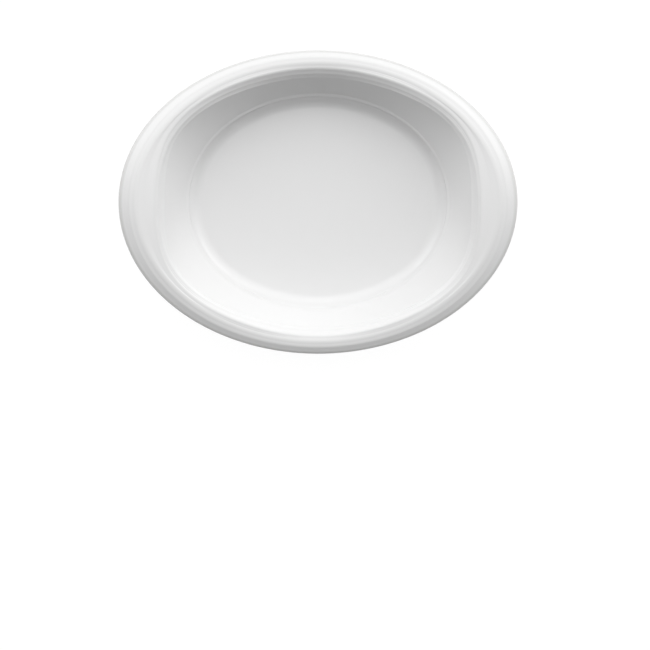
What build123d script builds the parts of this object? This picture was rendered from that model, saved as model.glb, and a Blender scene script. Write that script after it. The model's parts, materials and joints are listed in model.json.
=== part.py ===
# Oval porcelain gratin dish. Its rim is bent like a saddle, low along the two long sides
# and drawn up and out into a lug at each end.
#
# The fired body carries two separate films of glaze: a coat over everything above the foot,
# inside and out, and a smaller film in the shallow recess underneath. Between the two, the
# ring that the dish stands on is bare.
#
# Frame: origin at the centre of the plane that the standing ring rests on,
# +X towards one lug, +Y across the dish, +Z up.

import os
from math import atan, ceil, cos, pi, radians, sin, tan

from build123d import *

os.makedirs("parts", exist_ok=True)

# Driving dimensions, in millimetres and degrees.
# "end" is the section through the lugs, "side" the section across the middle.
overall_length = 250.0
overall_width = 194.0
end_crest_height = 46.1
side_crest_height = 32.1
foot_length = 172.0
foot_width = 140.0

# Walls and floor
wall_thickness = 5.7  # at the floor
wall_belly = 0.6  # the outside stands this far past a straight line, half way up
belly_radius = 200.0
root_fullness = 0.07  # how much squarer than an ellipse the outside wall is at its top
floor_height = 5.0  # inside floor above the table
floor_radius = 8.8  # where the floor turns up into the wall
floor_fullness = 0.026  # how much squarer than an ellipse the floor is at its shoulders
ledge_width = 2.4  # a shallow step round the foot of the inside wall
ledge_turn = 14.0  # how much less steep than the wall it is
ledge_radius = 1.0
end_ledge_start = 6.6  # from the floor's corner up the wall to the step
side_ledge_start = 5.8

# Bands of the rim from its edge to the mouth: width and slope, rising inwards where positive
end_bands = [(7.1, 17.0), (3.8, 9.0), (12.4, -9.5), (1.75, -28.0), (3.45, -52.0)]
side_bands = [(4.7, 28.0), (3.6, 8.0), (3.9, -8.0), (3.0, -36.0), (2.05, -51.0)]
crest_index = 2  # the crest is the crease after this many bands

# Creases at the inner side of each band: radius, how much squarer than an ellipse each is at
# its shoulders, and how early it climbs towards the lugs
crease_radii = [4.5, 8.0, 3.4, 2.4, 2.4]
crease_fullness = [0, 0, 0.079, 0.069, 0.09]
crease_lift = [0, 0, 0.05, 0.05, 0.21]

# Lip and lugs
lip_thickness = 1.8  # at its edge
lip_flat = 0.06  # what the lip's two roundings leave straight
lip_bottom_radius = 0.4
end_overhang = 22.4  # from the lip's edge back to the outside wall
side_overhang = 11.6
end_underside_rise = 10.5
side_underside_rise = 3.0
end_root_radius = 2.5
side_root_radius = 6.0

# Foot and recess
foot_radius = 0.6
standing_ring_width = 4.0
recess_depth = 1.0
recess_run = 1.6  # how far in the recess's sloping side comes

# Glaze
glaze_thickness = 0.3
glaze_line_height = 1.2  # lower edge of the coat, outside
recess_glaze_line = 0.45  # lower edge of the film in the recess

# Points on one ring, and rings on one rounding
ring_points = 24
rounding_steps = 4


def outline_corners(
    half, half_foot, crest_height, rim_bands, overhang, rise, root_radius, ledge_start
):
    # Corners of half a section, from under the foot, up the outside, over the rim and down
    # to the floor, each as distance from the centre and height, with the corners' radii.
    rim = [Vector(half, 0)]
    for width, slope in rim_bands:
        rim.append(rim[-1] + Vector(-width, width * tan(radians(slope))))
    crest_turn = radians(rim_bands[crest_index - 1][1] - rim_bands[crest_index][1])
    crest_radius = crease_radii[crest_index - 1]
    crest_corner = crest_height + crest_radius * (1 / cos(crest_turn / 2) - 1)
    raised = Vector(0, crest_corner - rim[crest_index].Y)
    rim = [corner + raised for corner in rim]

    lip_bottom = rim[0] - Vector(0, lip_thickness)
    root = lip_bottom - Vector(overhang, overhang * tan(radians(rise)))
    above_turn = tan(radians(90 - rim_bands[0][1]) / 2)
    below_turn = tan(radians(90 - rise) / 2)
    lip_top_radius = (lip_thickness - lip_flat - lip_bottom_radius * below_turn) / above_turn

    # The inside wall runs from the floor up to the mouth, with a ledge on the way.
    lean = atan((root.X - half_foot) / root.Y)
    inside_foot = half_foot - wall_thickness / cos(lean)
    floor_corner = Vector(inside_foot + floor_height * tan(lean), floor_height)
    wall = (rim[-1] - floor_corner).normalized()
    ledge_end = floor_corner + wall * ledge_start
    ledge_top = ledge_end + wall.rotate(Axis.Z, -ledge_turn) * ledge_width

    corners = [
        Vector(half_foot - standing_ring_width, 0),
        Vector(half_foot, 0),
        Vector((half_foot + root.X) / 2 + wall_belly, root.Y / 2),
        root,
        lip_bottom,
        *rim,
        ledge_top,
        ledge_end,
        floor_corner,
        Vector(0, floor_height),
    ]
    radii = [
        foot_radius,
        belly_radius,
        root_radius,
        lip_bottom_radius,
        lip_top_radius,
        *crease_radii,
        ledge_radius,
        ledge_radius,
        floor_radius,
    ]
    return corners, radii


# Fullness and lift of the rings at the corners above, in the same order
outside_fullness = [0, 0, root_fullness / 2, root_fullness, 0, 0]
fullness = [*outside_fullness, *crease_fullness, 0, 0, floor_fullness, 0]
lift = [0, 0, 0, 0, 0, 0, *crease_lift, 0, 0, 0, 0]

# Places along a section, counted in its lines and roundings
wall_index = 2
skin_start_index = 1
skin_end_index = 2 * len(fullness) - 4


def inset(corners, radii, depth):
    # The same section moved into the material by depth. The material is on its left.
    headings = [(b - a).normalized() for a, b in zip(corners, corners[1:])]
    normals = [Vector(-heading.Y, heading.X) for heading in headings]
    moved = [corners[0] + normals[0] * depth]
    moved_radii = []
    for i, corner in enumerate(corners[1:-1]):
        before, after = normals[i], normals[i + 1]
        moved.append(corner + (before + after) * (depth / (1 + before.dot(after))))
        convex = headings[i].cross(headings[i + 1]).Z > 0
        moved_radii.append(radii[i] - depth if convex else radii[i] + depth)
    moved.append(corners[-1] + normals[-1] * depth)
    return moved, moved_radii


def rounded(corners, radii):
    # The lines and arcs of a section, in order
    with BuildLine():
        outline = FilletPolyline(*corners, radius=radii)
    return outline.edges()


def ring(surface, place):
    # The closed curve at one place along a surface's two sections. It is an oval bent along
    # the saddle: highest over the lugs and lowest over the long sides.
    end_edges, side_edges = surface
    index = min(int(place), len(end_edges) - 1)
    along = place - index
    end_point = end_edges[index] @ along
    side_point = side_edges[index] @ along
    corner = (index + 1) // 2
    full = fullness[corner]
    early = lift[corner]
    if index % 2 == 0:
        full += (fullness[corner + 1] - full) * along
        early += (lift[corner + 1] - early) * along
    points = []
    for n in range(ring_points):
        angle = 2 * pi * n / ring_points
        shoulder = sin(2 * angle) ** 2
        x = end_point.X * cos(angle) * (1 + full * shoulder)
        y = side_point.X * sin(angle)
        z = side_point.Y + (end_point.Y - side_point.Y) * (cos(angle) ** 2 + early * shoulder)
        points.append((x, y, z))
    with BuildLine() as outline:
        Spline(*points, periodic=True)
    return outline.wire()


# The rings aren't flat, so no sketch can hold them. Each band of a surface is therefore
# lofted straight from its rings, and a piece is closed from its bands.
def bands(surface, start, end):
    faces = []
    for index in range(int(start), ceil(end)):
        first = max(start, index)
        last = min(end, index + 1)
        straight = index % 2 == 0
        steps = 1 if straight else rounding_steps
        rings = [ring(surface, first + (last - first) * n / steps) for n in range(steps + 1)]
        faces += Shell.make_loft(rings, ruled=straight).faces()
    return faces


def step_band(glazed_place, bare_place):
    # The cut edge of the coat, from the glazed surface in to the bare one
    rings = [ring(glazed, glazed_place), ring(bare, bare_place)]
    return Shell.make_loft(rings, ruled=True).faces()


def place_at_height(surface, index, height):
    # Where one line of the end section passes a height
    edge = surface[0][index]
    low, high = (edge @ 0).Y, (edge @ 1).Y
    return index + (height - low) / (high - low)


end_section = outline_corners(
    overall_length / 2,
    foot_length / 2,
    end_crest_height,
    end_bands,
    end_overhang,
    end_underside_rise,
    end_root_radius,
    end_ledge_start,
)
side_section = outline_corners(
    overall_width / 2,
    foot_width / 2,
    side_crest_height,
    side_bands,
    side_overhang,
    side_underside_rise,
    side_root_radius,
    side_ledge_start,
)
glazed = [rounded(*end_section), rounded(*side_section)]
bare = [
    rounded(*inset(*end_section, glaze_thickness)),
    rounded(*inset(*side_section, glaze_thickness)),
]

glazed_line = place_at_height(glazed, wall_index, glaze_line_height)
bare_line = place_at_height(bare, wall_index, glaze_line_height)

# The body: glazed outline up to the glaze line, bare outline from there on
body_faces = [
    Face(ring(glazed, skin_start_index)),
    *bands(glazed, skin_start_index, glazed_line),
    *step_band(glazed_line, bare_line),
    *bands(bare, bare_line, skin_end_index),
    Face(ring(bare, skin_end_index)),
]
body_form = Solid(Shell(body_faces))

# The coat fills the space between the two outlines
coat_faces = [
    Face(ring(glazed, skin_end_index)),
    *bands(glazed, glazed_line, skin_end_index),
    *step_band(glazed_line, bare_line),
    *bands(bare, bare_line, skin_end_index),
    Face(ring(bare, skin_end_index)),
]
coat_form = Solid(Shell(coat_faces))

# The recess narrows upwards from the inside of the standing ring
bare_recess_depth = recess_depth + glaze_thickness
film_reach = glaze_thickness / sin(atan(bare_recess_depth / recess_run))


def recess_oval(height, inwards):
    # Radii of the recess's bare side at a height, or of an oval that far inside it
    back = standing_ring_width + recess_run * height / bare_recess_depth + inwards
    return foot_length / 2 - back, foot_width / 2 - back


with BuildPart() as porcelain_body:
    add(body_form)
    with BuildSketch():
        Ellipse(*recess_oval(0, 0))
    with BuildSketch(Plane.XY.offset(bare_recess_depth)):
        Ellipse(*recess_oval(bare_recess_depth, 0))
    loft(mode=Mode.SUBTRACT)
    standing_face = porcelain_body.faces().filter_by(Plane.XY).sort_by(Axis.Z)[0]
    fillet(standing_face.inner_wires()[0].edges(), foot_radius)

with BuildPart() as glaze_coat:
    add(coat_form)

with BuildPart() as glaze_underside:
    with BuildSketch(Plane.XY.offset(recess_glaze_line)):
        Ellipse(*recess_oval(recess_glaze_line, 0))
    with BuildSketch(Plane.XY.offset(bare_recess_depth)):
        Ellipse(*recess_oval(bare_recess_depth, 0))
    loft()
    with BuildSketch(Plane.XY.offset(recess_glaze_line)):
        Ellipse(*recess_oval(recess_glaze_line, film_reach))
    with BuildSketch(Plane.XY.offset(recess_depth)):
        Ellipse(*recess_oval(recess_depth, film_reach))
    loft(mode=Mode.SUBTRACT)

porcelain_body.part.label = "porcelain_body"
export_step(porcelain_body.part, "parts/porcelain_body.step")

glaze_coat.part.label = "glaze_coat"
export_step(glaze_coat.part, "parts/glaze_coat.step")

glaze_underside.part.label = "glaze_underside"
export_step(glaze_underside.part, "parts/glaze_underside.step")
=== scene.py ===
import json
from math import atan, atan2, cos, pi, radians, sin, tan

import bpy
import numpy as np
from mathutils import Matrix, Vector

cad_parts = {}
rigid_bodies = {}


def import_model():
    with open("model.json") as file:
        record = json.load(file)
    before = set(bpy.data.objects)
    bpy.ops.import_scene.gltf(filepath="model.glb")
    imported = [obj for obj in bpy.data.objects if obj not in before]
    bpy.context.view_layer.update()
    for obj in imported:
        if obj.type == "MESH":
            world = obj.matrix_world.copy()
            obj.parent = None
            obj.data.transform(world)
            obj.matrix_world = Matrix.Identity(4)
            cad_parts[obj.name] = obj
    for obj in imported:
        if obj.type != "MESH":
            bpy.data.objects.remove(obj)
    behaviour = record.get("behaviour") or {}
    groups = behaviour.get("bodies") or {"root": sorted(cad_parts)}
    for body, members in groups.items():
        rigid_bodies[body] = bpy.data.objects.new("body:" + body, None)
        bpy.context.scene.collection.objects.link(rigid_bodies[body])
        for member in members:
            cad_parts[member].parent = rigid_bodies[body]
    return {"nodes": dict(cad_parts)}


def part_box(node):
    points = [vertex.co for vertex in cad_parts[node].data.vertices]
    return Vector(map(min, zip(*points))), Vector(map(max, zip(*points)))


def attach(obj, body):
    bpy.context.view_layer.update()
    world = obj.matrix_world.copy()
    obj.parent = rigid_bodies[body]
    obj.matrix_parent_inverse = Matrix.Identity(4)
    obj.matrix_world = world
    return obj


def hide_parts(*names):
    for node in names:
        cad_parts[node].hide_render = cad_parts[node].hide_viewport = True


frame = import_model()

scene = bpy.context.scene
perMetre = 1000  # millimetres in a metre
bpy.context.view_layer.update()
coatHigh = np.array(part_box("glaze_coat")[1]) * perMetre
filmLow, filmHigh = (np.array(corner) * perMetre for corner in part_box("glaze_underside"))
print("frame:", ", ".join(sorted(frame["nodes"])))


# helpers for colours, nodes and materials

def linear(hexColour):
    # from an sRGB hex value to the linear colour that nodes take
    channels = [int(hexColour[i:i + 2], 16) / 255 for i in (1, 3, 5)]
    return [c / 12.92 if c < 0.04045 else ((c + 0.055) / 1.055) ** 2.4 for c in channels] + [1]


def addNode(tree, kind, settings=None, links=None):
    # settings are properties, or inputs by name or number; links are inputs and what feeds them
    node = tree.nodes.new(kind)
    for key, value in (settings or {}).items():
        if isinstance(key, str) and hasattr(node, key):
            setattr(node, key, value)
        else:
            node.inputs[key].default_value = value
    for key, output in (links or {}).items():
        tree.links.new(output, node.inputs[key])
    return node


def newMaterial(name):
    material = bpy.data.materials.new(name)
    material.use_nodes = True
    material.node_tree.nodes.clear()
    return material, material.node_tree


# helpers for sections and meshes

usualSteps = 6  # faces round a corner, where it doesn't say otherwise
usualStrips = 3  # faces along the straight stretch after it


def unit(vector):
    return vector / np.linalg.norm(vector)


def turned(vector, angle):
    return np.array([
        vector[0] * cos(angle) - vector[1] * sin(angle),
        vector[0] * sin(angle) + vector[1] * cos(angle),
    ])


def roundedSection(corners):
    # Points of half a section, each as distance from the centre and height, with every inner
    # corner rounded. Beside them come the corner that each point belongs to, and how many
    # strips of faces run from each point to the next.
    at = [np.array(corner["at"], float) for corner in corners]
    points, owners, strips = [at[0]], [0], [1]
    for i in range(1, len(corners) - 1):
        before, after = unit(at[i] - at[i - 1]), unit(at[i + 1] - at[i])
        turn = atan2(before[0] * after[1] - before[1] * after[0], before @ after)
        radius = corners[i]["radius"]
        start = at[i] - before * radius * tan(abs(turn) / 2)
        toCentre = turned(before, np.sign(turn) * pi / 2) * radius
        steps = corners[i].get("steps", usualSteps)
        for n in range(steps + 1):
            points.append(start + toCentre - turned(toCentre, turn * n / steps))
            owners.append(i)
            strips.append(1)
        strips[-1] = corners[i].get("strips", usualStrips)
    points.append(at[-1])
    owners.append(len(corners) - 1)
    return np.array(points), np.array(owners), strips


def inset(points, depth):
    # The section moved into the material, which is on the left of its run
    heading = np.gradient(points, axis=0)
    heading /= np.linalg.norm(heading, axis=1)[:, None]
    return points + depth * np.stack([-heading[:, 1], heading[:, 0]], axis=1)


def ovalRings(endPoints, sidePoints, traits, count):
    # One closed ring for each pair of points: an oval, bent highest over the lugs. The traits
    # are how much squarer than an ellipse it is at its shoulders, how early it climbs to the
    # lugs, and the painted shade on the glaze there, which becomes a fourth column beside x, y and z.
    full, early, shadeMark = (column[:, None] for column in traits.T)
    angle = np.arange(count) * 2 * pi / count
    shoulder = np.sin(2 * angle) ** 2
    rise = endPoints[:, 1:] - sidePoints[:, 1:]
    x = endPoints[:, :1] * np.cos(angle) * (1 + full * shoulder)
    y = sidePoints[:, :1] * np.sin(angle)
    z = sidePoints[:, 1:] + rise * (np.cos(angle) ** 2 + early * shoulder)
    return np.stack([x, y, z, shadeMark + 0 * x], axis=2)


def addStrips(rings, strips):
    # More rings on the straight stretches, closest at both ends, which keeps shading clean
    filled = []
    for low, high, count in zip(rings, rings[1:], strips):
        for n in range(count):
            filled.append(low + (high - low) * (1 - cos(pi * n / count)) / 2)
    filled.append(rings[-1])
    return np.array(filled)


def skinMesh(name, rings):
    # Quads between neighbouring rings; the first and the last ring close to a point
    ringCount, count = rings.shape[:2]
    n = np.arange(count)
    after = (n + 1) % count
    faces = []
    for low in range(0, (ringCount - 1) * count, count):
        high = low + count
        faces += np.stack([low + n, low + after, high + after, high + n], axis=1).tolist()
    firstTip, lastTip = ringCount * count, ringCount * count + 1
    last = (ringCount - 1) * count
    for i, j in zip(n.tolist(), after.tolist()):
        faces.append((j, i, firstTip))
        faces.append((last + i, last + j, lastTip))
    tips = [rings[0].mean(axis=0), rings[-1].mean(axis=0)]
    verts = np.vstack([rings.reshape(-1, 4), tips])
    mesh = bpy.data.meshes.new(name)
    mesh.from_pydata((verts[:, :3] / perMetre).tolist(), [], faces)
    # the fourth column is painted shade: darker glaze over edges and in creases
    paintedShadeMark = mesh.attributes.new("paintedShadeMark", "FLOAT", "POINT")
    paintedShadeMark.data.foreach_set("value", verts[:, 3].copy())
    mesh.shade_smooth()
    return mesh


def addPiece(name, mesh, material):
    piece = bpy.data.objects.new(name, mesh)
    scene.collection.objects.link(piece)
    mesh.materials.append(material)
    return piece


# materials

# A noise texture's values run from 0 to 1, but most of them lie between these two.
noiseLow, noiseHigh = 0.35, 0.65

glaze = {
    # painted shade: the first colour darkens the glaze over edges, the last darkens it in creases; the
    # middle is its own colour
    "edgeShade": "#DEDEDD", "even": "#EFEFEF", "creaseShade": "#EDEDED",  # over edges, on walls, in creases
    "ior": 1.52,
    "smoothest": 0.14, "dullest": 0.2, "dullPatch": 30,  # roughness, and how wide its patches are
    # orange peel, drawn coarser than the real dish's, which is about 1 mm across
    "peel": 1.6, "peelHeight": 0.004, "peelStrength": 0.6,
}


def glazedPorcelain():
    # Gloss-fired transparent glaze over white porcelain: near white, soft wide highlights
    material, tree = newMaterial("glossFiredGlazeOnPorcelain")
    place = addNode(tree, "ShaderNodeTexCoord")
    shadeMark = addNode(tree, "ShaderNodeAttribute", {"attribute_name": "paintedShadeMark"})
    # painted shade: the glaze is painted darker over edges, and a shade darker in creases and hollows
    creaseShadeShare = addNode(tree, "ShaderNodeMath", {"operation": "MAXIMUM", 1: 0.0}, {0: shadeMark.outputs["Fac"]})
    edgeShade = addNode(tree, "ShaderNodeMath", {"operation": "MULTIPLY", 1: -1.0, "use_clamp": True},
                   {0: shadeMark.outputs["Fac"]})
    creaseShaded = addNode(tree, "ShaderNodeMix",
                     {"data_type": "RGBA", 6: linear(glaze["even"]), 7: linear(glaze["creaseShade"])},
                     {0: creaseShadeShare.outputs[0]})
    colour = addNode(tree, "ShaderNodeMix", {"data_type": "RGBA", 7: linear(glaze["edgeShade"])},
                     {0: edgeShade.outputs[0], 6: creaseShaded.outputs[2]})
    # the fire leaves broad patches a little less glossy
    patch = addNode(tree, "ShaderNodeTexNoise", {"Scale": perMetre / glaze["dullPatch"], "Detail": 2},
                    {"Vector": place.outputs["Object"]})
    gloss = addNode(tree, "ShaderNodeMapRange",
                    {"From Min": noiseLow, "From Max": noiseHigh,
                     "To Min": glaze["smoothest"], "To Max": glaze["dullest"]},
                    {"Value": patch.outputs["Fac"]})
    # faint orange peel, which softens the edge of each highlight
    peel = addNode(tree, "ShaderNodeTexNoise", {"Scale": perMetre / glaze["peel"], "Detail": 1},
                   {"Vector": place.outputs["Object"]})
    bump = addNode(tree, "ShaderNodeBump",
                   {"Distance": glaze["peelHeight"] / perMetre, "Strength": glaze["peelStrength"]},
                   {"Height": peel.outputs["Fac"]})
    shader = addNode(tree, "ShaderNodeBsdfPrincipled", {"IOR": glaze["ior"]},
                     {"Base Color": colour.outputs[2], "Roughness": gloss.outputs["Result"],
                      "Normal": bump.outputs["Normal"]})
    addNode(tree, "ShaderNodeOutputMaterial", links={"Surface": shader.outputs[0]})
    return material


bare = {
    "light": "#EBE8E1", "dark": "#DDD8CD", "mottle": 2.5,  # two tones, and how wide their patches are
    "ior": 1.5,
    "rubbed": 0.55, "raw": 0.8,  # roughness where the ring wore smooth and where it didn't
    # a dry grain, drawn about twice as coarse as real
    "grain": 0.35, "grainHeight": 0.02, "grainStrength": 0.5,
}


def barePorcelain():
    # Unglazed vitrified body: warmer than the glaze, matt, with a fine dry grain
    material, tree = newMaterial("unglazedFiredPorcelain")
    place = addNode(tree, "ShaderNodeTexCoord")
    mottle = addNode(tree, "ShaderNodeTexNoise", {"Scale": perMetre / bare["mottle"], "Detail": 4},
                     {"Vector": place.outputs["Object"]})
    colour = addNode(tree, "ShaderNodeMix",
                     {"data_type": "RGBA", 6: linear(bare["light"]), 7: linear(bare["dark"])},
                     {0: mottle.outputs["Fac"]})
    roughness = addNode(tree, "ShaderNodeMapRange",
                        {"From Min": noiseLow, "From Max": noiseHigh,
                         "To Min": bare["rubbed"], "To Max": bare["raw"]},
                        {"Value": mottle.outputs["Fac"]})
    grain = addNode(tree, "ShaderNodeTexNoise", {"Scale": perMetre / bare["grain"], "Detail": 3},
                    {"Vector": place.outputs["Object"]})
    bump = addNode(tree, "ShaderNodeBump",
                   {"Distance": bare["grainHeight"] / perMetre, "Strength": bare["grainStrength"]},
                   {"Height": grain.outputs["Fac"]})
    shader = addNode(tree, "ShaderNodeBsdfPrincipled", {"IOR": bare["ior"]},
                     {"Base Color": colour.outputs[2], "Roughness": roughness.outputs["Result"],
                      "Normal": bump.outputs["Normal"]})
    addNode(tree, "ShaderNodeOutputMaterial", links={"Surface": shader.outputs[0]})
    return material


glazeMaterial = glazedPorcelain()
bareMaterial = barePorcelain()
print("materials:", glazeMaterial.name, bareMaterial.name)


# glaze over the whole dish above its foot

coat = {
    "ringPoints": 320, "innermost": 0.4,  # radius of the last ring, which closes to a point
    "thickness": 0.3,  # of the glaze
    "backing": 0.28,  # how far the hidden back lies under the front
    "glazeLine": 1.2,  # lower edge above the table, at the lugs
    "footWidth": 4.0, "footRadius": 0.6,  # the bare ring that the dish stands on
    "belly": 0.6, "bellyRadius": 200, "rootFullness": 0.07,  # the outside swells this much
    "lip": 1.8, "lipFlat": 0.06, "lipBelow": 0.4,  # lip thickness, what stays flat, lower radius
    "wall": 5.7, "floorHeight": 5.0, "floorRadius": 8.8, "floorFullness": 0.026,
    "ledgeWidth": 2.4, "ledgeTurn": 14, "ledgeRadius": 1.0,  # narrow step at the wall's foot
    # the crease at the inner side of each flute, from the lip to the mouth
    "creaseRadii": [4.5, 8.0, 3.4, 2.4, 2.4],
    "creaseFullness": [0, 0, 0.079, 0.069, 0.09],
    "creaseLift": [0, 0, 0.05, 0.05, 0.21],
    # the middle of each flute is hollowed this deep, but its halves turn no more than this
    "grooveDepths": [0.09, 0.09, 0.11, 0.14, 0.16], "grooveTurn": 6.0, "grooveRadius": 2.0,
}

# The two sections: across the lugs and across the long sides. Flutes run from the edge to the
# mouth, each as width and slope. The rim overhangs the wall by overhang, its underside slopes
# by underRise, and the ledge begins ledgeStart up the inside wall.
endCut = {
    "half": coatHigh[0], "crest": coatHigh[2], "foot": 86.0,
    "flutes": [(7.1, 17), (3.8, 9), (12.4, -9.5), (1.75, -28), (3.45, -52)],
    "overhang": 22.4, "underRise": 10.5, "rootRadius": 2.5, "ledgeStart": 6.6,
}
sideCut = {
    "half": coatHigh[1], "crest": 32.1, "foot": 70.0,
    "flutes": [(4.7, 28), (3.6, 8), (3.9, -8), (3.0, -36), (2.05, -51)],
    "overhang": 11.6, "underRise": 3.0, "rootRadius": 6.0, "ledgeStart": 5.8,
}


def rimCorners(cut):
    # creases from the lip's edge to the mouth, with the highest rounding at the crest's height
    creases = [np.array([cut["half"], 0.0])]
    for width, slope in cut["flutes"]:
        creases.append(creases[-1] + np.array([-width, width * tan(radians(slope))]))
    crest = max(range(len(creases)), key=lambda i: creases[i][1])
    crestTurn = radians(cut["flutes"][crest - 1][1] - cut["flutes"][crest][1])
    crestTop = creases[crest][1] - coat["creaseRadii"][crest - 1] * (1 / cos(crestTurn / 2) - 1)
    return [crease + np.array([0, cut["crest"] - crestTop]) for crease in creases]


def groovedFlutes(creases):
    # The rim inwards from the lip: a shallow groove along each flute, then its inner crease
    corners = []
    outer = {"at": creases[0], "full": 0, "lift": 0}
    flutes = zip(creases[1:], coat["creaseRadii"], coat["creaseFullness"], coat["creaseLift"],
                 coat["grooveDepths"])
    for place, radius, full, lift, depth in flutes:
        run = place - outer["at"]
        depth = min(depth, np.linalg.norm(run) / 2 * tan(radians(coat["grooveTurn"])))
        corners.append({
            "at": (outer["at"] + place) / 2 + turned(unit(run), pi / 2) * depth,
            "radius": coat["grooveRadius"],
            "full": (outer["full"] + full) / 2, "lift": (outer["lift"] + lift) / 2,
            # painted shade: the groove's middle is a shade darker, and the crease a touch darker as
            # over an edge
            "shadeMark": 0.3, "steps": 4,
        })
        outer = {"at": place, "radius": radius, "full": full, "lift": lift, "shadeMark": -0.1, "steps": 8}
        corners.append(outer)
    return corners


footCorner = 1  # the foot's place in the list that dishCorners returns


def dishCorners(cut):
    # The outline from under the foot, up the outside, over the rim and down to the floor. Its
    # shade mark runs from -1, painted shade over edges, to 1, painted shade in creases and hollows.
    creases = rimCorners(cut)
    lipTop = creases[0]
    lipBottom = lipTop - np.array([0, coat["lip"]])
    root = lipBottom - cut["overhang"] * np.array([1, tan(radians(cut["underRise"]))])
    belowTurn = tan(radians(90 - cut["underRise"]) / 2)
    aboveTurn = tan(radians(90 - cut["flutes"][0][1]) / 2)
    lipAbove = (coat["lip"] - coat["lipFlat"] - coat["lipBelow"] * belowTurn) / aboveTurn
    lean = atan((root[0] - cut["foot"]) / root[1])
    insideFoot = cut["foot"] - coat["wall"] / cos(lean)
    floorCorner = np.array([insideFoot + coat["floorHeight"] * tan(lean), coat["floorHeight"]])
    upWall = unit(creases[-1] - floorCorner)
    ledgeEnd = floorCorner + upWall * cut["ledgeStart"]
    ledgeTop = ledgeEnd + turned(upWall, -radians(coat["ledgeTurn"])) * coat["ledgeWidth"]
    # painted shade: darker glaze over the foot and lip edges, under the rim, at the ledge and round
    # the floor
    return [
        {"at": (cut["foot"] - coat["footWidth"], 0)},
        {"at": (cut["foot"], 0), "radius": coat["footRadius"], "strips": 4, "shadeMark": -1},
        {"at": ((cut["foot"] + root[0]) / 2 + coat["belly"], root[1] / 2),
         "radius": coat["bellyRadius"], "full": coat["rootFullness"] / 2, "strips": 4},
        {"at": root, "radius": cut["rootRadius"], "full": coat["rootFullness"],
         "shadeMark": 0.7, "steps": 8, "strips": 8},
        {"at": lipBottom, "radius": coat["lipBelow"], "shadeMark": -1},
        {"at": lipTop, "radius": lipAbove, "shadeMark": -1, "steps": 10},
        *groovedFlutes(creases),
        {"at": ledgeTop, "radius": coat["ledgeRadius"]},
        {"at": ledgeEnd, "radius": coat["ledgeRadius"], "shadeMark": 0.6},
        {"at": floorCorner, "radius": coat["floorRadius"], "full": coat["floorFullness"],
         "shadeMark": 0.8, "steps": 16, "strips": 8},
        {"at": (coat["innermost"], coat["floorHeight"])},
    ]


def traitsOf(corners, owners):
    # the last trait is the painted shade mark
    names = ("full", "lift", "shadeMark")
    return np.array([[corners[owner].get(name, 0) for name in names] for owner in owners], float)


# both sections have the same corners, so the second's owners and strips serve for both
endCorners = dishCorners(endCut)
endPoints, owners, strips = roundedSection(endCorners)
sidePoints, owners, strips = roundedSection(dishCorners(sideCut))
traits = traitsOf(endCorners, owners)


def fromHeight(height):
    # The section from where its first outside line passes a height at the lugs
    foot = int(np.flatnonzero(owners == footCorner)[-1])
    share = (height - endPoints[foot, 1]) / (endPoints[foot + 1, 1] - endPoints[foot, 1])
    cutEnd, cutSide, cutTraits = (values[foot:].copy() for values in (endPoints, sidePoints, traits))
    for values in (cutEnd, cutSide, cutTraits):
        values[0] += (values[1] - values[0]) * share
    return cutEnd, cutSide, cutTraits, strips[foot:]


# The front starts half a film higher than the back, so that the glaze's lower edge is rolled.
frontEnd, frontSide, frontTraits, frontStrips = fromHeight(coat["glazeLine"] + coat["thickness"] / 2)
backEnd, backSide, backTraits = fromHeight(coat["glazeLine"])[:3]  # hidden, so it needs no strips
front = ovalRings(frontEnd, frontSide, frontTraits, coat["ringPoints"])
back = ovalRings(inset(backEnd, coat["backing"]), inset(backSide, coat["backing"]),
                 backTraits, coat["ringPoints"])
coatMesh = skinMesh("glazeCoat", np.vstack([back[::-1], addStrips(front, frontStrips)]))
glazeCoat = addPiece("glazeCoat", coatMesh, glazeMaterial)
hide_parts("glaze_coat")
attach(glazeCoat, "root")
print("glaze coat:", len(coatMesh.polygons), "faces")


# glaze in the shallow recess underneath

film = {
    "innermost": 0.4,
    "low": filmLow[2], "roof": filmHigh[2],  # lower edge, and the body above it
    "thickness": 0.3, "gap": 0.02,  # the gap keeps its back clear of the body
    "recessRise": 1.3, "recessRun": 1.6,  # slope of the recess's side
    "edgeRadius": 0.12, "coveRadius": 0.9,
}


def filmCorners(halfWidth):
    # From the middle of the back, out, round the lower edge and in along the face
    slope = film["recessRun"] / film["recessRise"]
    backTop = film["roof"] - film["gap"]
    face = film["roof"] - film["thickness"]
    reach = film["thickness"] / sin(atan(1 / slope))
    inner = halfWidth - reach
    return [
        {"at": (film["innermost"], backTop)},
        {"at": (halfWidth - film["gap"] - (backTop - film["low"]) * slope, backTop),
         "radius": film["edgeRadius"]},
        # painted shade: the film is darker over its lower edge and in the cove
        {"at": (halfWidth - film["gap"], film["low"]), "radius": film["edgeRadius"], "shadeMark": -1},
        {"at": (inner, film["low"]), "radius": film["edgeRadius"], "shadeMark": -1},
        {"at": (inner - (face - film["low"]) * slope, face),
         "radius": film["coveRadius"], "shadeMark": 1, "strips": 8},
        {"at": (film["innermost"], face)},
    ]


endCorners = filmCorners(filmHigh[0])
endPoints, owners, strips = roundedSection(endCorners)
sidePoints, owners, strips = roundedSection(filmCorners(filmHigh[1]))
rings = ovalRings(endPoints, sidePoints, traitsOf(endCorners, owners), coat["ringPoints"])
filmMesh = skinMesh("glazeUnderside", addStrips(rings, strips))
filmMesh.flip_normals()
glazeUnderside = addPiece("glazeUnderside", filmMesh, glazeMaterial)
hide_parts("glaze_underside")
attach(glazeUnderside, "root")
print("glaze underside:", len(filmMesh.polygons), "faces")


# the fired body keeps its solid; only its bare foot shows

body = frame["nodes"]["porcelain_body"]
body.data.materials.clear()
body.data.materials.append(bareMaterial)
print("body:", len(body.data.polygons), "faces")


# stage, light and camera, in metres

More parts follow.
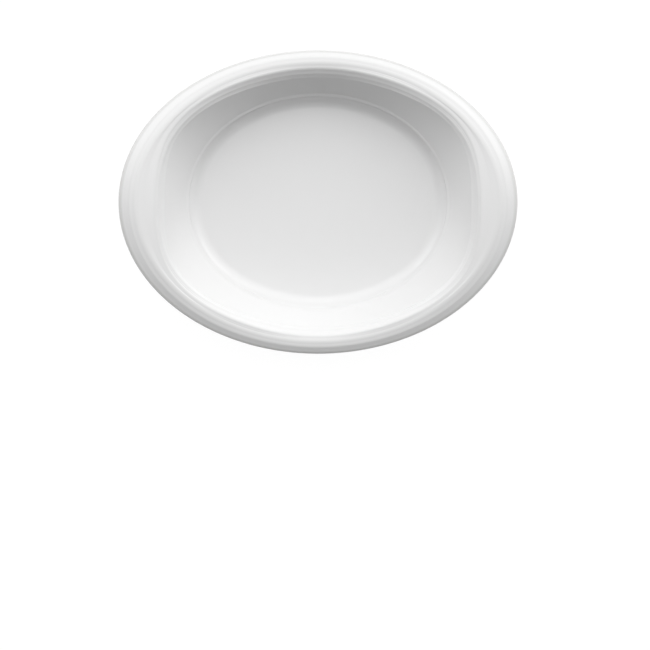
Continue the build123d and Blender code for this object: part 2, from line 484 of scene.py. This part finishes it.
stage = {
    "floorHalf": 3.0, "floorDrop": 1e-4, "floorColour": "#F2F2F2",
    "whiteShare": 0.9, "whiteStrength": 1.06,  # how much of the floor reads as white paper
    "skyColour": "#FFFFFF", "ambient": 0.06,
    # large soft boxes as lobes of the sky: elevation, turn from +Y to +X, tightness, strength
    "softBoxes": [(60, 0, 5, 1.92), (20, 57, 10, 3.12), (20, -57, 10, 2.4)],
}


def paperFloor():
    # White paper sweep: white to the camera and in reflections, and it keeps a faint shadow
    material, tree = newMaterial("whitePaperSweep")
    path = addNode(tree, "ShaderNodeLightPath")
    seen = addNode(tree, "ShaderNodeMath", {"operation": "MAXIMUM"},
                   {0: path.outputs["Is Camera Ray"], 1: path.outputs["Is Glossy Ray"]})
    seen = addNode(tree, "ShaderNodeMath", {"operation": "MAXIMUM"},
                   {0: seen.outputs[0], 1: path.outputs["Is Transmission Ray"]})
    share = addNode(tree, "ShaderNodeMath", {"operation": "MULTIPLY", 1: stage["whiteShare"]},
                    {0: seen.outputs[0]})
    matt = addNode(tree, "ShaderNodeBsdfDiffuse", {"Color": linear(stage["floorColour"])})
    white = addNode(tree, "ShaderNodeEmission", {"Strength": stage["whiteStrength"]})
    top = addNode(tree, "ShaderNodeMixShader",
                  links={0: share.outputs[0], 1: matt.outputs[0], 2: white.outputs[0]})
    # seen from below it is clear, which shows the dish's foot
    side = addNode(tree, "ShaderNodeNewGeometry")
    clear = addNode(tree, "ShaderNodeBsdfTransparent")
    both = addNode(tree, "ShaderNodeMixShader",
                   links={0: side.outputs["Backfacing"], 1: top.outputs[0], 2: clear.outputs[0]})
    addNode(tree, "ShaderNodeOutputMaterial", links={"Surface": both.outputs[0]})
    return material


def softBoxSky():
    # Every box is a smooth lobe of light; the camera itself sees plain white
    world = bpy.data.worlds.new("studio")
    world.use_nodes = True
    tree = world.node_tree
    tree.nodes.clear()
    direction = addNode(tree, "ShaderNodeTexCoord")
    glow = addNode(tree, "ShaderNodeValue")
    glow.outputs[0].default_value = stage["ambient"]
    for elevation, turn, tightness, strength in stage["softBoxes"]:
        up, around = radians(elevation), radians(turn)
        towards = (sin(around) * cos(up), cos(around) * cos(up), sin(up))
        facing = addNode(tree, "ShaderNodeVectorMath", {"operation": "DOT_PRODUCT", 1: towards},
                         {0: direction.outputs["Generated"]})
        lit = addNode(tree, "ShaderNodeMath", {"operation": "MAXIMUM", 1: 0.0},
                      {0: facing.outputs["Value"]})
        lobe = addNode(tree, "ShaderNodeMath", {"operation": "POWER", 1: tightness},
                       {0: lit.outputs[0]})
        glow = addNode(tree, "ShaderNodeMath", {"operation": "MULTIPLY_ADD", 1: strength},
                       {0: lobe.outputs[0], 2: glow.outputs[0]})
    colour = linear(stage["skyColour"])
    light = addNode(tree, "ShaderNodeBackground", {"Color": colour}, {"Strength": glow.outputs[0]})
    white = addNode(tree, "ShaderNodeBackground", {"Color": colour})
    path = addNode(tree, "ShaderNodeLightPath")
    mix = addNode(tree, "ShaderNodeMixShader",
                  links={0: path.outputs["Is Camera Ray"], 1: light.outputs[0], 2: white.outputs[0]})
    addNode(tree, "ShaderNodeOutputWorld", links={"Surface": mix.outputs[0]})
    return world


half, low = stage["floorHalf"], -stage["floorDrop"]
floorMesh = bpy.data.meshes.new("floor")
floorMesh.from_pydata([(-half, -half, low), (half, -half, low), (half, half, low), (-half, half, low)],
                      [], [(0, 1, 2, 3)])
addPiece("floor", floorMesh, paperFloor())
scene.world = softBoxSky()

# The camera looks straight down. The shift puts the dish where the upper picture has it.
camera = {
    "height": 0.7428, "lens": 61.95, "sensor": 36,  # lens and sensor in millimetres
    "pictureSize": 650, "right": -7, "up": 123,  # the dish's centre from the picture's, in pixels
}
cameraData = bpy.data.cameras.new("camera")
cameraData.lens = camera["lens"]
cameraData.sensor_width = camera["sensor"]
cameraData.shift_x = -camera["right"] / camera["pictureSize"]
cameraData.shift_y = -camera["up"] / camera["pictureSize"]
cameraObject = bpy.data.objects.new("camera", cameraData)
cameraObject.location = (0, 0, camera["height"])
scene.collection.objects.link(cameraObject)
scene.camera = cameraObject
scene.view_settings.view_transform = "Standard"
print("stage: floor, sky and camera")
